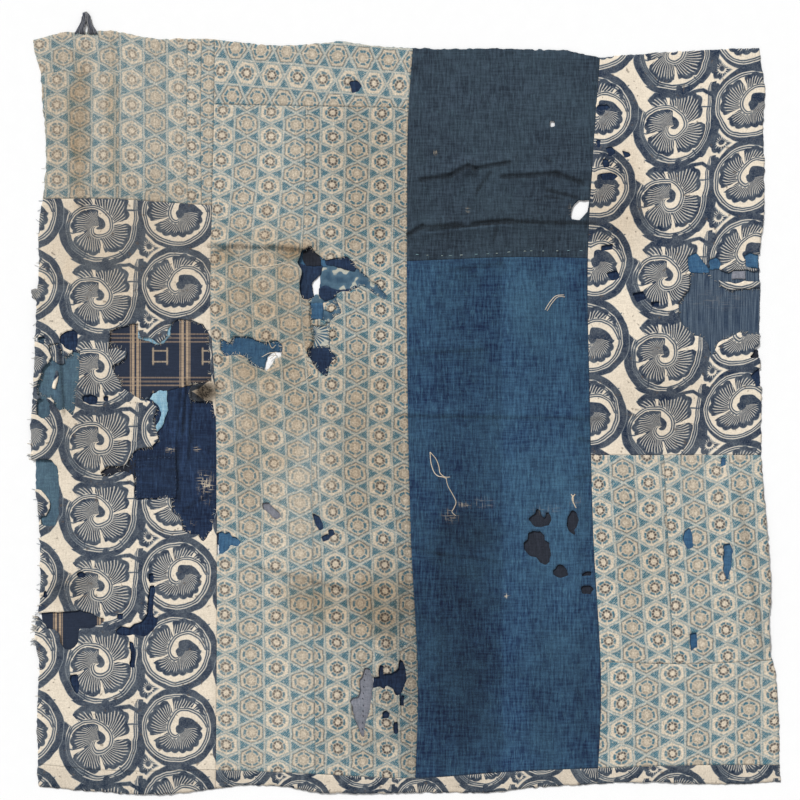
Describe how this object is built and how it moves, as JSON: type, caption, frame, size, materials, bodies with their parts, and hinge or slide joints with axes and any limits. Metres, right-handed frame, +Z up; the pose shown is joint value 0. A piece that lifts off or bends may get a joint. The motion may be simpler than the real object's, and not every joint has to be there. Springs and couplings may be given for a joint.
{
  "type": "boro patched cloth",
  "caption": "Old patched cotton cloth spread flat: narrow printed and plain indigo widths sewn edge to edge, with worn places that show the scraps sewn on behind.",
  "frame": {"origin": "centre of the cloth's box, on the floor it lies on", "axes": "+Z up from the floor through the cloth, +Y towards the edge with the tie's stub, +X towards the right as seen from above"},
  "size_m": [1.3078, 1.371, 0.0127],
  "materials": {
    "kikko": "tortoiseshell print in blue and brown on cream cotton, washed soft",
    "karakusa": "scroll print, slate navy on cream cotton, faded",
    "binding": "scroll print folded as a narrow binding, matt",
    "plain_dark": "plain weave, charcoal indigo, matt",
    "plain_indigo": "plain weave, slubbed indigo, matt",
    "plaid": "woven plaid in cream, brown grey and navy, matt",
    "navy": "plain weave, navy, rubbed at its creases",
    "sky": "plain weave, faded sky indigo, matt",
    "mid_blue": "plain weave, mid indigo, matt",
    "faded_print": "fan print in pale blue and cream, faded",
    "grey_stripe": "woven hair stripe in grey blue, matt",
    "mauve": "plain weave, mauve grey, matt",
    "brown_black": "plain weave, brown black, matt",
    "stub": "frayed threads in dark grey blue"
  },
  "bodies": {
    "root": {"kikko_top_left": "kikko", "kikko_strip_outer": "kikko", "kikko_strip_inner": "kikko", "kikko_turned_top": "kikko", "kikko_centre_left": "kikko", "kikko_centre_right": "kikko", "kikko_right_inner": "kikko", "kikko_right_outer": "kikko", "kikko_right_low": "kikko", "karakusa_left": "karakusa", "karakusa_right": "karakusa", "binding_left": "binding", "binding_middle": "binding", "binding_right": "binding", "plain_dark_top": "plain_dark", "plain_indigo": "plain_indigo", "scrap_plaid": "plaid", "scrap_plaid_low": "plaid", "scrap_navy": "navy", "scrap_navy_long": "navy", "scrap_navy_low": "navy", "scrap_navy_right": "navy", "over_patch_navy": "navy", "scrap_sky_upper": "sky", "scrap_sky_lower": "sky", "scrap_blue_left": "mid_blue", "scrap_blue_small": "mid_blue", "scrap_blue_right": "mid_blue", "scrap_print_mixed": "faded_print", "scrap_grey_stripe": "grey_stripe", "scrap_mauve": "mauve", "scrap_brown": "brown_black", "scrap_brown_small": "brown_black", "tie_stub": "stub"}
  },
  "joints": []
}
